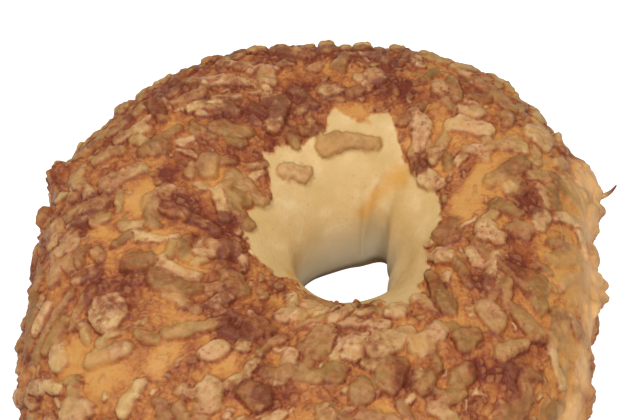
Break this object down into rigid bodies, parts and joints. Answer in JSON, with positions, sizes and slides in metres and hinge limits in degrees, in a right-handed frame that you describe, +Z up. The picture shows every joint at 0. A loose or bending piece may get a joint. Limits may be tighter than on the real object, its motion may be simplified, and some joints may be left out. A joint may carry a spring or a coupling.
{
  "type": "cheese bagel",
  "caption": "Whole uncut bagel: a fat ring of chewy bread with a small hole, its crust covered in shreds of baked cheese.",
  "frame": {"origin": "under the middle of the ring, on the surface the bagel lies on", "axes": "+Z up through the ring, +Y to the far side as the picture shows it, +X to its right"},
  "size_m": [0.1101, 0.1192, 0.0375],
  "materials": {
    "crust": "baked, slightly greasy",
    "bread": "smooth pale bread skin",
    "cheese": "browned melted cheese, satin"
  },
  "bodies": {
    "root": {"bagel": "crust"}
  },
  "joints": []
}
